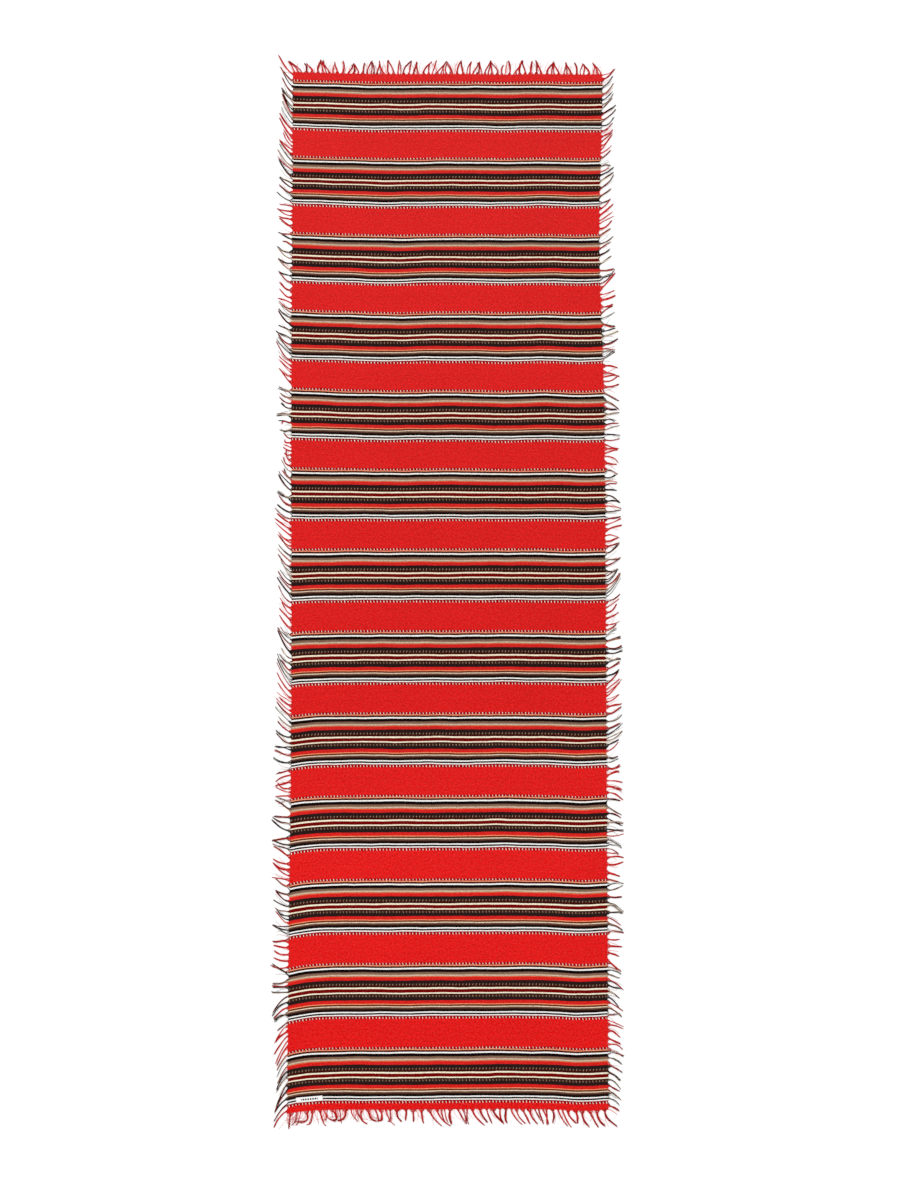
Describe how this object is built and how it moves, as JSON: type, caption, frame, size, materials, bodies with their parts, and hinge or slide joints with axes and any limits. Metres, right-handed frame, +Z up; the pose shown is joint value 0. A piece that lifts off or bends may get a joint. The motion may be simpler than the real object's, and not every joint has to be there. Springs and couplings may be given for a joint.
{
  "type": "table runner",
  "caption": "Long striped woven table runner with a frayed fringe on all four sides and a small sewn label, folding across its length.",
  "frame": {"origin": "middle of the underside, with the runner lying flat and open", "axes": "+X across the cloth to the right seen from above with the label end nearest, +Y along it from the label end to the plain end, +Z up"},
  "size_m": [0.502, 1.55, 0.0026],
  "materials": {
    "striped_cloth": "matte woven yarn, red bands with fine black, brown, taupe and white stripes",
    "frayed_yarn": "loose matte yarn ends in the colours of the stripes beside them",
    "label_satin": "white woven satin with a slight sheen",
    "sewing_thread": "fine off-white thread"
  },
  "bodies": {
    "plain_middle": {"cloth_plain_middle": "striped_cloth", "left_fringe_plain_middle": "frayed_yarn", "right_fringe_plain_middle": "frayed_yarn"},
    "label_middle": {"cloth_label_middle": "striped_cloth", "left_fringe_label_middle": "frayed_yarn", "right_fringe_label_middle": "frayed_yarn"},
    "plain_end": {"cloth_plain_end": "striped_cloth", "left_fringe_plain_end": "frayed_yarn", "right_fringe_plain_end": "frayed_yarn", "end_fringe_plain": "frayed_yarn"},
    "label_end": {"cloth_label_end": "striped_cloth", "left_fringe_label_end": "frayed_yarn", "right_fringe_label_end": "frayed_yarn", "end_fringe_label": "frayed_yarn", "label": "label_satin", "label_stitches_left": "sewing_thread", "label_stitches_right": "sewing_thread"}
  },
  "joints": [
    {"name": "fold_middle", "type": "hinge", "parent": "plain_middle", "child": "label_middle", "pos_m": [0, 0, 0.005], "axis": [-1, 0, 0], "range_deg": [0, 179.99]},
    {"name": "fold_plain_end", "type": "hinge", "parent": "plain_middle", "child": "plain_end", "pos_m": [0, 0.388, 0.0023], "axis": [1, 0, 0], "range_deg": [0, 179.99]},
    {"name": "fold_label_end", "type": "hinge", "parent": "label_middle", "child": "label_end", "pos_m": [0, -0.388, 0.0023], "axis": [-1, 0, 0], "range_deg": [0, 179.99]}
  ]
}
